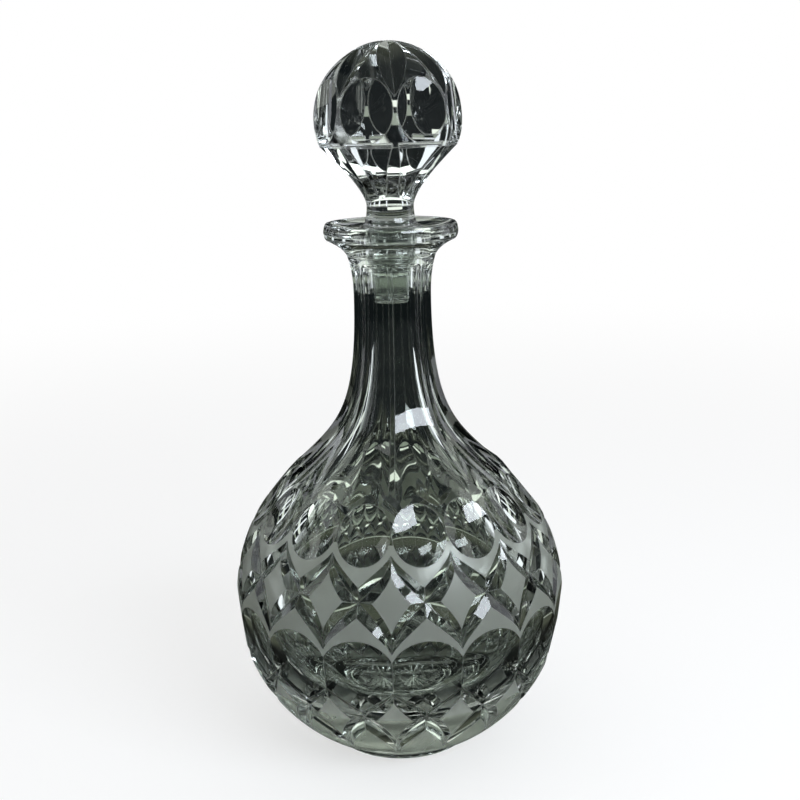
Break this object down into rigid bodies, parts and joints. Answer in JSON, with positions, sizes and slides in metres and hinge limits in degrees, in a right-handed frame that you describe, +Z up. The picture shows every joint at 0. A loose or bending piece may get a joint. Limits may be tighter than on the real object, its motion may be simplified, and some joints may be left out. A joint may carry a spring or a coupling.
{
  "type": "decanter",
  "caption": "Globe-shaped cut crystal decanter with a fluted neck, a flared lip and a faceted ball stopper that lifts out on a ribbed plastic sleeve.",
  "frame": {"origin": "centre of the foot's resting face", "axes": "+Z up along the decanter's axis, -Y is the side the picture shows, +X to its right; one oval of each row is centred on -Y, and the picture looks from 8 degrees to the left of it"},
  "size_m": [0.1296, 0.1296, 0.2722],
  "materials": {
    "vessel_crystal": "wheel-cut and polished, with satin fields between the cuts",
    "stopper_crystal": "wheel-cut and polished",
    "sleeve_plastic": "clear moulded, slightly cloudy"
  },
  "bodies": {
    "vessel": {"decanter_vessel": "vessel_crystal"},
    "sleeve": {"stopper_sleeve": "sleeve_plastic"},
    "stopper": {"glass_stopper": "stopper_crystal"}
  },
  "joints": [
    {"name": "stopper_lift", "type": "slide", "parent": "vessel", "child": "sleeve", "axis": [0, 0, 1], "range_m": [0, 0.06]},
    {"name": "stopper_turn", "type": "hinge", "parent": "sleeve", "child": "stopper", "pos_m": [0, 0, 0.19], "axis": [0, 0, 1], "continuous": true}
  ]
}
